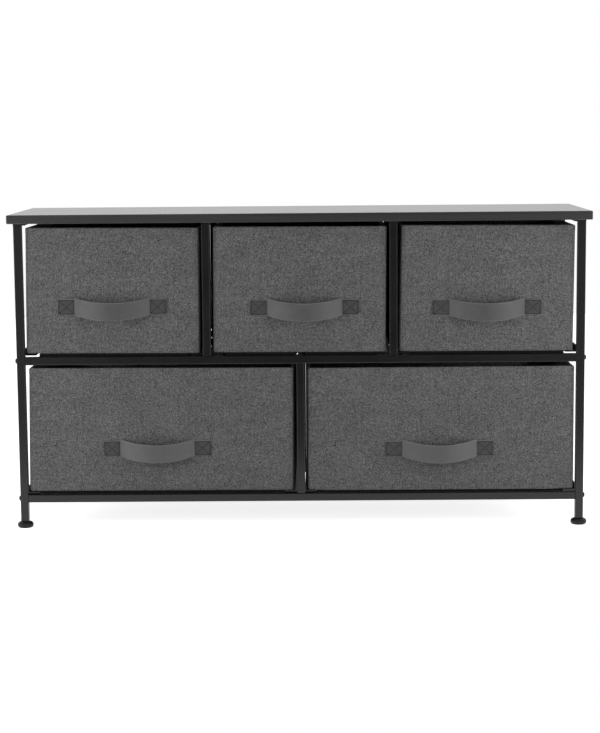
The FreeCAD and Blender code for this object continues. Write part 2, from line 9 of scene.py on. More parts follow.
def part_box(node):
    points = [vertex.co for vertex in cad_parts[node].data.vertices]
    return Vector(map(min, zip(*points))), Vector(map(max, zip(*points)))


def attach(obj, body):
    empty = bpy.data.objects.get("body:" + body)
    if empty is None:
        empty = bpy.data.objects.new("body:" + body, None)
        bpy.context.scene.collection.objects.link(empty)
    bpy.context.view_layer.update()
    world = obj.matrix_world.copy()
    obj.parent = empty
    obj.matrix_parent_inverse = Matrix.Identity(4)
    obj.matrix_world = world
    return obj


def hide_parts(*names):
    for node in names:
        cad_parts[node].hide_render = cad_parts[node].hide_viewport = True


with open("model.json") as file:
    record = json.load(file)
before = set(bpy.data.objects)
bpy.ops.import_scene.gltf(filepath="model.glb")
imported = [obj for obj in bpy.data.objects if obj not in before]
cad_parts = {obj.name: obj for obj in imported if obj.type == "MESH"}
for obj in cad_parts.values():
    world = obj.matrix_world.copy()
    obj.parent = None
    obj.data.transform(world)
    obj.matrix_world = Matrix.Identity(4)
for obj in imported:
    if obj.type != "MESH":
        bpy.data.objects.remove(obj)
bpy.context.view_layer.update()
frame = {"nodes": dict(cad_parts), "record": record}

# Looks of the fabric drawer dresser. Metres, +Z up, front towards -Y, as in the frame.

NODES = frame["nodes"]
MM = 0.001
FRONT = Vector((0, -1, 0))
SHARP_ANGLE = math.radians(42)

# Camera of the photograph, which is 600 by 733 pixels
IMAGE_HEIGHT = 733
FOCAL_PIXELS = 1841.5
SENSOR_MM = 36
CAMERA_PLACE = (0.0319, -3.2853, 0.6878)
CAMERA_HEADING = 0.0103
CAMERA_DIP = 0.1285
CAMERA_ROLL = -0.0084

# Weave of the drawer cloth: threads a pitch apart, whose tone changes every few crossings
THREAD_PITCH = 0.0011
SLUB_THREADS = 9
WARP_SEED = 100.0
WEFT_SEED = 300.0
FLECK_SHARE = 0.8

# Drawer cloth: corners and walls, then corner seams and hem, then how it puffs out
CLOTH_CORNER = 0.005
CLOTH_CORNER_STEPS = 5
CLOTH_BASE_ROUND = 0.003
CLOTH_BASE_STEPS = 3
CLOTH_STEP = 0.007
CLOTH_FLOOR = 0.001
WALL = 0.0047
RIM_STEPS = 8
SEAM_HALF = 0.0012
SEAM_DEPTH = 0.0008
HEM_DROP = 0.0107
HEM_DEPTH = 0.0003
HEM_SWELL = 0.0003
PUFF = 0.0007
PUFF_LENGTH = 0.07
SIDE_PUFF = 0.5
SEED_STEP = 10

# Painted shade: a near-black strip like a base cloth's turned-down seam under each drawer, starting this far
# from the sides; it stops short of the rail and rises over the bolt heads in the middle of the mid rail
SHADE_STRIP_START = {"upper": 0.020, "lower": 0.0152}
SHADE_STRIP_THICKNESS = 0.001
SHADE_STRIP_INSET = 0.003
SHADE_STRIP_CLEARANCE = 0.0005
SHADE_STRIP_STEP = 0.006
SHADE_STRIP_WAVE = 0.0005
SHADE_STRIP_WAVE_LENGTH = 0.02
BOLT_HEAD_ROOM = 0.008
BOLT_HEAD_CLEARANCE = 0.0008

# How far each sewn drawer strays from true, in millimetres. (across, up) at the front's upper left,
# upper right, lower left and lower right corner, the sag of its lower front edge between the runners,
# how far its rear leans to the right at the base, above the runners and at the rim, and the bulge of
# its sides
STRAY = {
    "upper_left": ((1.2, 2.6), (0.9, 0.5), (-2.4, 1.5), (0.0, 0.0), 0.0, (3.3, 4.9, 3.75), 0.3),
    "upper_middle": ((1.2, 1.9), (0.6, 0.8), (-1.1, 1.0), (-1.7, 0.3), 0.0, (0.0, 0.0, 0.0), 1.0),
    "upper_right": ((2.2, 2.3), (0.9, 0.4), (-3.2, 0.5), (-1.5, 0.0), 0.0, (0.0, 0.0, 0.0), 1.0),
    "lower_left": ((1.2, 1.2), (-0.2, -0.8), (-2.6, 0.8), (-1.7, 0.0), 0.0, (3.8, 3.8, 3.0), 1.0),
    "lower_right": ((0.3, -1.9), (1.9, -1.1), (-0.7, 0.0), (2.0, 0.0), 2.0, (-2.5, -4.2, -4.95), 0.4),
}

# The rise of the lower corners fades out behind the front, and the sag within its lower edge and beside
# the runners. The lean of the base gives way to that of the walls at a share of the height.
FRONT_RUN = 0.06
FLANGE_REACH = 0.017
SAG_RUN = 0.015
SAG_DEPTH = 0.0028
LEAN_START = 0.05
LEAN_RUN = 0.01

# Strap handles and their stitches, then the stitches of the hem
STRAP_SPAN = 0.130
STRAP_TAB = 0.0275
STRAP_WIDTH = 0.0303
STRAP_TAB_WIDTH = 0.0272
STRAP_MIDDLE_WIDTH = 0.0308
STRAP_FLARE = 0.05
STRAP_LIFT = 0.0008
STRAP_THICKNESS = 0.002
STRAP_EDGE = 0.0009
STRAP_BOW = 0.023
STRAP_DROOP = 0.007
STRAP_ROOT = 0.007
STRAP_STEPS = 28
ROOT_STEPS = 8
LOOP_STEPS = 20
STITCH_BOX = (0.0255, 0.0227)
STITCH_INSET = 0.0006
STITCH_LENGTH = 0.0029
STITCH_PITCH = 0.004
STITCH_RADIUS = 0.00075
STITCH_DIP = 0.0008
STITCH_DIP_REACH = 0.0016
STITCH_SIDES = 6
HEM_STITCH_LENGTH = 0.0032
HEM_STITCH_PITCH = 0.0042
HEM_STITCH_RADIUS = 0.00028

# Turned-down ends of the lower runners, and how far each stands back from its runner's end
LIP_THICKNESS = 0.0015
LIP_SPARE = 0.001
LIP_SETBACK = {"left_lower_runner": 0.008, "right_lower_runner": 0.0, "lower_divider_runners": 0.008}

# Bolts and feet, with turned profiles as (radius, height) in millimetres
RING = 36
BOLT_RADIUS = 0.003
BOLT_SHANK = 0.026
BOLT_CHAMFER = 0.0006
BOLT_HEAD = ((4.7, 0.0), (4.7, 0.5), (4.5, 1.2), (4.1, 1.9), (3.5, 2.5), (2.9, 2.85), (2.5, 3.0))
SOCKET_RADIUS = 0.0023
SOCKET_FLOOR = 0.0015
PAD_PROFILE = (
    (3.4, 0.0), (10.8, 0.0), (11.9, 0.4), (12.8, 1.2), (13.5, 2.4), (13.9, 3.9), (14.0, 5.2), (13.8, 6.5),
    (13.2, 7.8), (12.2, 8.9), (10.9, 9.8), (9.3, 10.5), (7.4, 11.0), (6.0, 11.2), (5.5, 11.4), (5.2, 11.7),
    (3.4, 11.7),
)
STUD_PITCH = 0.001
STUD_CREST = 0.003
STUD_DEPTH = 0.0006
STUD_STEPS = 24
STUD_ROWS_PER_TURN = 5

# Studio: the paper floor, the world and the lamps as (name, place, aim, size, watts). The world brightens
# over SIDE_RUN from its middle to its sides and over REAR_RUN from front to rear, by direction.
FLOOR_ACROSS = (-2.6, 2.6)
FLOOR_ALONG = (-0.75, 3.5)
FLOOR_GREY = 0.8
FLOOR_GLOW = 0.8
REAR_LEVEL = 0.93
REAR_RUN = (-0.3, 0.3)
SIDE_LEVEL = 0.95
SIDE_RUN = (0.08, 0.22)
FRONT_SHARE = 0.32
SOFTBOXES = (
    ("left_box", (-1.58, -0.93, 0.35), (-0.2, 0, 0.2), (0.9, 1.3), 27),
    ("right_box", (1.58, -0.93, 0.35), (0.2, 0, 0.2), (0.9, 1.3), 28),
    ("top_box", (0, -1.6, 2.4), (0, 0, 0.3), (2.4, 1.2), 8.5),
)


class Shape:
    """Points and faces that grow ring by ring."""

    def __init__(self):
        self.points = []
        self.faces = []

    def bridge(self, first, second, count):
        """Quads between two closed rings, given the index at which each starts."""
        for index in range(count):
            following = (index + 1) % count
            self.faces.append((first + index, first + following, second + following, second + index))

    def loft(self, rings):
        """A closed solid through rings with the same number of points."""
        first = len(self.points)
        count = len(rings[0])
        for ring in rings:
            self.points += ring
        for index in range(len(rings) - 1):
            self.bridge(first + index * count, first + (index + 1) * count, count)
        last = len(self.points) - count
        self.faces.append(tuple(range(first, first + count)))
        self.faces.append(tuple(range(last, last + count)))


def new_piece(name, shape, body, slot, material=None):
    """A mesh piece that rides on a body, in its slot's material unless another is given.

    Its faces look outwards and are smooth but for sharp edges.
    """
    mesh = bpy.data.meshes.new(name)
    mesh.from_pydata([tuple(point) for point in shape.points], [], shape.faces)
    mesh.materials.append(material or MATERIALS[slot])
    faces = bmesh.new()
    faces.from_mesh(mesh)
    bmesh.ops.recalc_face_normals(faces, faces=faces.faces)
    faces.to_mesh(mesh)
    faces.free()
    mesh.shade_smooth()
    mesh.set_sharp_from_angle(angle=SHARP_ANGLE)
    made = bpy.data.objects.new(name, mesh)
    bpy.context.scene.collection.objects.link(made)
    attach(made, body)
    return made


def smooth_step(share):
    """Eases from 0 to 1."""
    share = min(max(share, 0), 1)
    return share * share * (3 - 2 * share)


def new_material(name):
    material = bpy.data.materials.new(name)
    material.use_nodes = True
    tree = material.node_tree
    return material, tree, tree.nodes["Principled BSDF"]


def feed(tree, socket, value):
    """Gives an input a plain value or another node's output."""
    if isinstance(value, bpy.types.NodeSocket):
        tree.links.new(value, socket)
    else:
        socket.default_value = value


def add(tree, kind, inputs, **settings):
    """A shader node, with what its inputs take and how it is set."""
    made = tree.nodes.new("ShaderNode" + kind)
    for name, value in settings.items():
        setattr(made, name, value)
    for name, value in inputs.items():
        feed(tree, made.inputs[name], value)
    return made


def set_shader(tree, shader, **inputs):
    """Feeds the shader's inputs, whose names have underscores here for spaces."""
    for name, value in inputs.items():
        feed(tree, shader.inputs[name.replace("_", " ")], value)


def grey(level, warmth=0.0):
    return (level * (1 + warmth), level, level * (1 - warmth), 1)


def stretched_noise(tree, coordinates, lengths, detail=2.0):
    """Noise whose blotches have the given lengths along the three axes."""
    scale = tuple(1 / length for length in lengths)
    mapped = add(tree, "Mapping", {"Vector": coordinates, "Scale": scale})
    return add(tree, "TexNoise", {"Vector": mapped.outputs[0], "Scale": 1.0, "Detail": detail}).outputs["Fac"]


def math_node(tree, operation, first, second=0.0):
    return add(tree, "Math", {0: first, 1: second}, operation=operation).outputs[0]


def tone_ramp(tree, factor, stops):
    """Greys along a factor, given as (position, level) or (position, level, warmth)."""
    ramp = add(tree, "ValToRGB", {"Fac": factor})
    elements = ramp.color_ramp.elements
    while len(elements) < len(stops):
        elements.new(0.5)
    for element, (position, *tone) in zip(elements, stops):
        element.position = position
        element.color = grey(*tone)
    return ramp.outputs["Color"]


def bumped(tree, height, strength, distance):
    return add(tree, "Bump", {"Height": height, "Strength": strength, "Distance": distance}).outputs[0]


def object_place(tree):
    return add(tree, "TexCoord", {}).outputs["Object"]


def from_to(tree, value, low, high):
    """A factor from 0 to 1 spread between two levels."""
    return add(tree, "MapRange", {"Value": value, "To Min": low, "To Max": high}).outputs[0]


def white_noise(tree, first, second):
    """A random number for each pair of whole numbers."""
    pair = add(tree, "CombineXYZ", {0: first, 1: second})
    return add(tree, "TexWhiteNoise", {"Vector": pair.outputs[0]}, noise_dimensions="2D").outputs["Value"]


def slub(tree, thread, along, seed):
    """The tone of a thread, which changes from one stretch of it to the next."""
    start = math_node(tree, "MULTIPLY", white_noise(tree, thread, seed), SLUB_THREADS)
    shifted = math_node(tree, "ADD", along, start)
    stretch = math_node(tree, "FLOOR", math_node(tree, "DIVIDE", shifted, SLUB_THREADS))
    return white_noise(tree, thread, math_node(tree, "ADD", stretch, seed))


def thread_crown(tree, place):
    """The height of round threads side by side."""
    wave = math_node(tree, "SINE", math_node(tree, "MULTIPLY", place, math.pi))
    return math_node(tree, "ABSOLUTE", wave)


def linen_material(name, level, contrast):
    """Plain weave: at each crossing the upper thread shows its own slub tone, with a fleck of its own."""
    material, tree, shader = new_material(name)
    cloth = add(tree, "SeparateXYZ", {"Vector": add(tree, "UVMap", {}, uv_map="Cloth").outputs[0]})
    across = math_node(tree, "DIVIDE", cloth.outputs[0], THREAD_PITCH)
    up = math_node(tree, "DIVIDE", cloth.outputs[1], THREAD_PITCH)
    warp_thread = math_node(tree, "FLOOR", across)
    weft_thread = math_node(tree, "FLOOR", up)
    parity = math_node(tree, "FLOORED_MODULO", math_node(tree, "ADD", warp_thread, weft_thread), 2.0)
    warp = slub(tree, warp_thread, up, WARP_SEED)
    weft = slub(tree, weft_thread, across, WEFT_SEED)
    upper = add(tree, "MixRGB", {"Fac": parity, "Color1": warp, "Color2": weft}).outputs[0]
    fleck = white_noise(tree, warp_thread, weft_thread)
    tone = add(tree, "MixRGB", {"Fac": FLECK_SHARE, "Color1": upper, "Color2": fleck}).outputs[0]
    woven = tone_ramp(tree, tone, ((0.0, level * (1 - contrast)), (1.0, level * (1 + contrast))))
    mottle = stretched_noise(tree, object_place(tree), (0.045, 0.02, 0.02))
    shade = tone_ramp(tree, mottle, ((0.3, 0.86), (0.7, 1.0)))
    tones = {"Fac": 1.0, "Color1": woven, "Color2": shade}
    colour = add(tree, "MixRGB", tones, blend_type="MULTIPLY").outputs[0]
    crowns = {"Color1": thread_crown(tree, across), "Color2": thread_crown(tree, up)}
    height = add(tree, "MixRGB", {"Fac": parity, **crowns}).outputs[0]
    set_shader(tree, shader, Base_Color=colour, Roughness=0.92, Sheen_Weight=0.08, Sheen_Roughness=0.5,
               Specular_IOR_Level=0.15, Normal=bumped(tree, height, 0.4, 0.0003))
    return material


def painted_shade_material():
    """Painted shade: near black, for the strip under the drawers, with the fibres and pressed dots of
    spun-bonded cloth.
    """
    material, tree, shader = new_material("nonwoven")
    place = object_place(tree)
    fibre = stretched_noise(tree, place, (0.006, 0.0008, 0.002), 4.0)
    dots = add(tree, "TexVoronoi", {"Vector": place, "Scale": 700.0}).outputs["Distance"]
    colour = tone_ramp(tree, fibre, ((0.3, 0.004), (0.7, 0.009)))
    set_shader(tree, shader, Base_Color=colour, Roughness=0.95, Specular_IOR_Level=0.1,
               Normal=bumped(tree, dots, 0.3, 0.0002))
    return material


def strap_material(name, level, specular, dullness):
    """Imitation leather: fine pebbled grain, slight mottling, satin."""
    material, tree, shader = new_material(name)
    place = object_place(tree)
    mottle = stretched_noise(tree, place, (0.012, 0.012, 0.012))
    pebble = add(tree, "TexVoronoi", {"Vector": place, "Scale": 1100.0}).outputs["Distance"]
    fine = stretched_noise(tree, place, (0.0006, 0.0006, 0.0006))
    grain = math_node(tree, "ADD", pebble, fine)
    colour = tone_ramp(tree, mottle, ((0.3, level * 0.9), (0.7, level * 1.1)))
    roughness = from_to(tree, mottle, dullness, dullness + 0.1)
    set_shader(tree, shader, Base_Color=colour, Roughness=roughness, Specular_IOR_Level=specular,
               Normal=bumped(tree, grain, 0.25, 0.0001))
    return material


def thread_material(name, level):
    """Sewing thread with a twist."""
    material, tree, shader = new_material(name)
    place = object_place(tree)
    twist = add(tree, "TexWave", {"Vector": place, "Scale": 500.0}, bands_direction="DIAGONAL").outputs["Fac"]
    colour = tone_ramp(tree, twist, ((0.2, level * 0.6), (0.8, level * 1.4)))
    set_shader(tree, shader, Base_Color=colour, Roughness=0.7, Normal=bumped(tree, twist, 0.5, 0.0001))
    return material


def powder_coat_material(name, level):
    """Fine orange-peel paint with a little unevenness in its gloss."""
    material, tree, shader = new_material(name)
    place = object_place(tree)
    peel = stretched_noise(tree, place, (0.0009, 0.0009, 0.0009), 3.0)
    cloud = stretched_noise(tree, place, (0.05, 0.05, 0.05))
    colour = tone_ramp(tree, cloud, ((0.3, level * 0.85), (0.7, level * 1.15)))
    roughness = from_to(tree, cloud, 0.22, 0.28)
    set_shader(tree, shader, Base_Color=colour, Roughness=roughness, Specular_IOR_Level=0.4,
               Normal=bumped(tree, peel, 0.12, 0.0002))
    return material


def laminate_material():
    """Dark laminate with faint long grain and fine pores, and a duller band round the edges."""
    material, tree, shader = new_material("laminate")
    place = object_place(tree)
    grain = stretched_noise(tree, place, (0.35, 0.006, 0.006), 5.0)
    pores = stretched_noise(tree, place, (0.02, 0.0006, 0.0006))
    colour = tone_ramp(tree, grain, ((0.3, 0.010), (0.55, 0.016), (0.75, 0.024)))
    upward = add(tree, "SeparateXYZ", {"Vector": add(tree, "NewGeometry", {}).outputs["Normal"]}).outputs[2]
    gloss = from_to(tree, grain, 0.18, 0.26)
    roughness = from_to(tree, math_node(tree, "ABSOLUTE", upward), 0.3, gloss)
    set_shader(tree, shader, Base_Color=colour, Roughness=roughness, Specular_IOR_Level=0.8,
               Normal=bumped(tree, pores, 0.03, 0.0002))
    return material


def plastic_material():
    """Moulded black plastic with a fine spark-eroded texture."""
    material, tree, shader = new_material("plastic")
    place = object_place(tree)
    spark = stretched_noise(tree, place, (0.0004, 0.0004, 0.0004), 3.0)
    cloud = stretched_noise(tree, place, (0.015, 0.015, 0.015))
    colour = tone_ramp(tree, cloud, ((0.3, 0.006), (0.7, 0.01)))
    set_shader(tree, shader, Base_Color=colour, Roughness=0.4, Specular_IOR_Level=0.25,
               Normal=bumped(tree, spark, 0.15, 0.0001))
    return material


def steel_material(name, level, roughness_low, roughness_high):
    """Plated steel with soft streaks."""
    material, tree, shader = new_material(name)
    place = object_place(tree)
    streak = stretched_noise(tree, place, (0.004, 0.004, 0.0008), 3.0)
    colour = tone_ramp(tree, streak, ((0.3, level * 0.85), (0.7, level * 1.1)))
    roughness = from_to(tree, streak, roughness_low, roughness_high)
    set_shader(tree, shader, Base_Color=colour, Metallic=1.0, Roughness=roughness)
    return material


def pressed_board_material():
    """Pressed grey-brown board with short fibres."""
    material, tree, shader = new_material("pressed_board")
    place = object_place(tree)
    fibre = stretched_noise(tree, place, (0.004, 0.0012, 0.0012), 4.0)
    fleck = stretched_noise(tree, place, (0.0012, 0.004, 0.0012), 4.0)
    mixed = add(tree, "MixRGB", {"Fac": 0.5, "Color1": fibre, "Color2": fleck}).outputs[0]
    colour = tone_ramp(tree, mixed, ((0.35, 0.16, 0.12), (0.68, 0.32, 0.16)))
    set_shader(tree, shader, Base_Color=colour, Roughness=0.85, Normal=bumped(tree, mixed, 0.3, 0.0003))
    return material


MATERIALS = {
    "black_laminate": laminate_material(),
    "black_powder_coat": powder_coat_material("powder_coat", 0.0046),
    "blackened_steel": steel_material("blackened_steel", 0.03, 0.42, 0.55),
    "zinc_steel": steel_material("zinc_steel", 0.6, 0.25, 0.4),
    "black_plastic": plastic_material(),
    "grey_linen": linen_material("linen", 0.0965, 0.84),
    "stiffener_board": pressed_board_material(),
    "grey_strap": strap_material("strap", 0.044, 0.75, 0.4),
}
DARK_THREAD = thread_material("dark_thread", 0.008)
GREY_THREAD = thread_material("grey_thread", 0.08)
# Near-black painted shade for the strips under the drawers
PAINTED_SHADE_BLACK = painted_shade_material()
SEWN_STRAP = strap_material("sewn_strap", 0.045, 0.3, 0.52)
# Painted highlight: a lighter grey for the rounded edges of the straps, for the light lines along them
PAINTED_EDGE_HIGHLIGHT = strap_material("strap_edges", 0.13, 0.3, 0.52)


def dress_nodes():
    """Gives every node of the frame the material of its slot in the record."""
    for subpart in frame["record"]["subparts"]:
        mesh = NODES[subpart["node"]].data
        mesh.materials.clear()
        mesh.materials.append(MATERIALS[subpart["material_slot"]])


class Drawer:
    """The cloth box of one drawer: where a place on its skin lies."""

    def __init__(self, name):
        self.name = name
        self.body = f"{name}_drawer"
        self.low, self.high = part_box(f"{name}_drawer_fabric")
        self.size = self.high - self.low
        self.seed = Vector((0, 0, SEED_STEP * list(STRAY).index(name)))
        rail = "front_mid_rail" if name.startswith("upper") else "front_bottom_rail"
        self.rail_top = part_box(rail)[1].z

    def shares(self, point):
        """How far across, back and up the box a point lies, each from 0 to 1."""
        return [min(max((point - self.low)[axis] / self.size[axis], 0), 1) for axis in range(3)]

    def strayed(self, point):
        """A point of the true box moved by the skew that the photograph shows."""
        left, right, low_left, low_right, sag, (base_lean, wall_lean, rim_lean), _ = STRAY[self.name]
        across, back, up = self.shares(point)
        front = 1 - smooth_step((point.y - self.low.y) / FRONT_RUN)
        inner = min(point.x - self.low.x, self.high.x - point.x) - FLANGE_REACH
        edge = 1 - smooth_step((point.y - self.low.y) / SAG_DEPTH)
        slack = sag * smooth_step(inner / SAG_RUN) * edge
        top = Vector(left).lerp(Vector(right), across)
        base = Vector(low_left).lerp(Vector(low_right), across)
        lean = wall_lean + (rim_lean - wall_lean) * up
        lean += (base_lean - wall_lean) * (1 - smooth_step((up - LEAN_START) / LEAN_RUN))
        shift = base.x + (top.x - base.x) * up + lean * back
        rise = top.y * up + (base.y * front - slack) * (1 - up)
        return point + Vector((shift, 0, rise)) * MM

    def puff(self, point, outward):
        """How far the slack cloth stands off its boards; nothing at the base, the rim and the corners."""
        across, back, up = self.shares(point)
        sideways = abs(outward.x)
        on_side = sideways > 0.5
        along = back if on_side else across
        spread = math.sqrt(math.sin(math.pi * up) * math.sin(math.pi * along))
        swell = PUFF * noise.noise(point / PUFF_LENGTH + self.seed)
        if on_side:
            swell = abs(swell) * SIDE_PUFF
        return spread * (swell + sideways * STRAY[self.name][-1] * MM)


def cloth_outline(width, depth):
    """The drawer in plan, anticlockwise from the front's right end: (point, outward, at a seam)."""
    half = width / 2
    corners = (
        (Vector((half - CLOTH_CORNER, CLOTH_CORNER)), -math.pi / 2),
        (Vector((half - CLOTH_CORNER, depth - CLOTH_CORNER)), 0),
        (Vector((CLOTH_CORNER - half, depth - CLOTH_CORNER)), math.pi / 2),
        (Vector((CLOTH_CORNER - half, CLOTH_CORNER)), math.pi),
    )
    outline = []
    for index, (centre, start) in enumerate(corners):
        seam_step = 0 if index % 2 == 0 else CLOTH_CORNER_STEPS
        for step in range(CLOTH_CORNER_STEPS + 1):
            turn = start + math.pi / 2 * step / CLOTH_CORNER_STEPS
            outward = Vector((math.cos(turn), math.sin(turn)))
            outline.append((centre + outward * CLOTH_CORNER, outward, step == seam_step))
        following = corners[(index + 1) % 4][0] + outward * CLOTH_CORNER
        outline += straight_run(outline[-1][0], following, outward)
    return outline


def straight_run(start, end, outward):
    """Points between two corners, close together beside the seams."""
    length = (end - start).length
    count = max(2, round((length - 4 * SEAM_HALF) / CLOTH_STEP))
    places = [SEAM_HALF, 2 * SEAM_HALF]
    for step in range(1, count):
        places.append(2 * SEAM_HALF + (length - 4 * SEAM_HALF) * step / count)
    places += [length - 2 * SEAM_HALF, length - SEAM_HALF]
    along = (end - start).normalized()
    return [(start + along * place, outward, False) for place in places]


def wall_profile(height):
    """(inset, level) up the outside of the wall, over the rim and down the lining."""
    rows = []
    for step in range(CLOTH_BASE_STEPS + 1):
        turn = math.pi / 2 * step / CLOTH_BASE_STEPS
        rows.append((CLOTH_BASE_ROUND * (1 - math.sin(turn)), CLOTH_BASE_ROUND * (1 - math.cos(turn))))
    hem = height - HEM_DROP
    bend_low, bend_high = height * LEAN_START, height * (LEAN_START + LEAN_RUN)
    rows += level_run(CLOTH_BASE_ROUND, bend_low, 0)
    rows += [(0, bend_low), (0, bend_high)]
    rows += level_run(bend_high, hem - SEAM_HALF, 0)
    rows += [(0, hem - SEAM_HALF), (HEM_DEPTH, hem), (-HEM_SWELL, hem + SEAM_HALF)]
    rim = WALL / 2 + HEM_SWELL
    rim_level = height - rim
    for step in range(RIM_STEPS + 1):
        turn = math.pi * step / RIM_STEPS
        rows.append((WALL / 2 - rim * math.cos(turn), rim_level + rim * math.sin(turn)))
    rows += [(WALL + HEM_SWELL, hem + SEAM_HALF), (WALL - HEM_DEPTH, hem), (WALL, hem - SEAM_HALF)]
    rows += level_run(hem - SEAM_HALF, bend_high, WALL)
    rows += [(WALL, bend_high), (WALL, bend_low)]
    rows += level_run(bend_low, CLOTH_FLOOR, WALL)
    rows.append((WALL, CLOTH_FLOOR))
    return rows


def level_run(start, end, inset):
    """Evenly spaced rows strictly between two levels."""
    count = max(2, round(abs(end - start) / CLOTH_STEP))
    return [(inset, start + (end - start) * step / count) for step in range(1, count)]


def lay_cloth(mesh, flat, girth):
    """Lays the weave on the walls by (way round, way up) and on the base and floor in plan."""
    layer = mesh.uv_layers.new(name="Cloth")
    for face in mesh.polygons:
        furthest = max(flat[vertex][0] for vertex in face.vertices)
        is_level = len(face.vertices) > 4
        for loop in face.loop_indices:
            vertex = mesh.loops[loop].vertex_index
            round_way, up_way = flat[vertex]
            if is_level:
                layer.data[loop].uv = mesh.vertices[vertex].co.xy
            elif furthest - round_way > girth / 2:
                layer.data[loop].uv = (round_way + girth, up_way)
            else:
                layer.data[loop].uv = (round_way, up_way)


def drawer_cloth(drawer):
    """The sewn skin of a drawer: base, doubled walls with a hem and corner seams, and floor."""
    outline = cloth_outline(drawer.size.x, drawer.size.y)
    rows = wall_profile(drawer.size.z)
    middle = (drawer.low.x + drawer.high.x) / 2
    way_round = [0.0]
    for (here, _, _), (before, _, _) in zip(outline[1:], outline):
        way_round.append(way_round[-1] + (here - before).length)
    girth = way_round[-1] + (outline[0][0] - outline[-1][0]).length
    rings = []
    flat = []
    climbed = 0.0
    before = rows[0]
    for row in rows:
        inset, level = row
        climbed += math.hypot(inset - before[0], level - before[1])
        before = row
        ring = []
        for (place, outward, at_seam), along in zip(outline, way_round):
            depth = inset + (SEAM_DEPTH if at_seam and inset < WALL / 2 else 0)
            spot = place - outward * depth
            point = Vector((middle + spot.x, drawer.low.y + spot.y, drawer.low.z + level))
            push = outward * drawer.puff(point, outward) if inset < WALL / 2 else Vector((0, 0))
            ring.append(drawer.strayed(point + Vector((push.x, push.y, 0))))
            flat.append((along, climbed))
        rings.append(ring)
    shape = Shape()
    shape.loft(rings)
    made = new_piece(f"{drawer.name}_drawer_cloth", shape, drawer.body, "grey_linen")
    lay_cloth(made.data, flat, girth)
    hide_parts(f"{drawer.name}_drawer_fabric")


def dark_shade_strip(drawer):
    """Painted shade: a near-black strip like the turned-down seam of a base cloth, under the front and the
    rear wall.
    """
    shape = Shape()
    inset = SHADE_STRIP_START[drawer.name.split("_")[0]]
    start = drawer.low.x + inset
    length = drawer.size.x - 2 * inset
    count = round(length / SHADE_STRIP_STEP)
    low = drawer.rail_top + SHADE_STRIP_CLEARANCE
    for middle in (drawer.low.y + SHADE_STRIP_INSET, drawer.high.y - SHADE_STRIP_INSET):
        rings = []
        for step in range(count + 1):
            across = start + length * step / count
            place = Vector((across / SHADE_STRIP_WAVE_LENGTH, middle, 0))
            wave = SHADE_STRIP_WAVE * noise.noise(place + drawer.seed)
            front, rear = middle - SHADE_STRIP_THICKNESS / 2, middle + SHADE_STRIP_THICKNESS / 2
            high = drawer.low.z + CLOTH_FLOOR
            over_bolt = 1 - smooth_step((abs(across) - BOLT_HEAD_ROOM) / SHADE_STRIP_STEP)
            hem = low + abs(wave)
            hem += (drawer.low.z - BOLT_HEAD_CLEARANCE - hem) * over_bolt
            rings.append([Vector((across, front, high)), Vector((across, rear, high)),
                          Vector((across, rear + wave, hem)), Vector((across, front + wave, hem))])
        shape.loft(rings)
    # The strip is painted shade under the drawer's front and rear edges
    new_piece(f"{drawer.name}_drawer_base_seam", shape, drawer.body, "grey_linen", PAINTED_SHADE_BLACK)


def stiffeners(drawer, boards):
    """The boards inside the cloth, leaning with it above and below the levels where the lean changes."""
    cut = bmesh.new()
    cut.from_mesh(NODES[f"{drawer.name}_drawer_{boards}"].data)
    for share in (LEAN_START, LEAN_START + LEAN_RUN):
        level = drawer.low.z + drawer.size.z * share
        bmesh.ops.bisect_plane(cut, geom=cut.verts[:] + cut.edges[:] + cut.faces[:],
                               plane_co=(0, 0, level), plane_no=(0, 0, 1))
    cut.verts.index_update()
    shape = Shape()
    shape.points = [drawer.strayed(vertex.co) for vertex in cut.verts]
    shape.faces = [tuple(vertex.index for vertex in face.verts) for face in cut.faces]
    cut.free()
    made = new_piece(f"{drawer.name}_drawer_{boards}_leaning", shape, drawer.body, "stiffener_board")
    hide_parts(f"{drawer.name}_drawer_{boards}")


def stitch(shape, start, end, outward, radius):
    """Adds one stitch: a rounded bead of thread between two places, arched a little outwards."""
    stations = ((0.0, 0.35, -0.6), (0.15, 0.9, 0.1), (0.5, 1.0, 0.3), (0.85, 0.9, 0.1), (1.0, 0.35, -0.6))
    side = (end - start).cross(outward).normalized()
    rings = []
    for share, girth, lift in stations:
        centre = start.lerp(end, share) + outward * radius * lift
        ring = []
        for step in range(STITCH_SIDES):
            turn = 2 * math.pi * step / STITCH_SIDES
            ring.append(centre + (side * math.cos(turn) + outward * math.sin(turn)) * radius * girth)
        rings.append(ring)
    shape.loft(rings)


def hem_stitches(drawer):
    """A row of stitches round the outside of the hem."""
    shape = Shape()
    half = drawer.size / 2
    middle = (drawer.low + drawer.high) / 2
    sides = (
        (FRONT, half.y, Vector((1, 0, 0)), half.x - CLOTH_CORNER),
        (Vector((0, 1, 0)), half.y, Vector((-1, 0, 0)), half.x - CLOTH_CORNER),
        (Vector((1, 0, 0)), half.x, Vector((0, 1, 0)), half.y - CLOTH_CORNER),
        (Vector((-1, 0, 0)), half.x, Vector((0, -1, 0)), half.y - CLOTH_CORNER),
    )
    for outward, reach, along, run in sides:
        count = int(2 * run / HEM_STITCH_PITCH)
        for index in range(count):
            ends = []
            for end in (-0.5, 0.5):
                across = (index + 0.5 - count / 2) * HEM_STITCH_PITCH + end * HEM_STITCH_LENGTH
                point = middle + outward * (reach - HEM_DEPTH) + along * across
                point.z = drawer.high.z - HEM_DROP
                ends.append(drawer.strayed(point + outward * drawer.puff(point, outward)))
            stitch(shape, ends[0], ends[1], outward, HEM_STITCH_RADIUS)
    new_piece(f"{drawer.name}_drawer_hem_stitches", shape, drawer.body, "grey_linen", GREY_THREAD)


def loop_share(across):
    """How far a place on a strap is from its sewn end (0) to its full width (1)."""
    return smooth_step((1 - abs(across) / (STRAP_SPAN / 2)) / STRAP_FLARE)


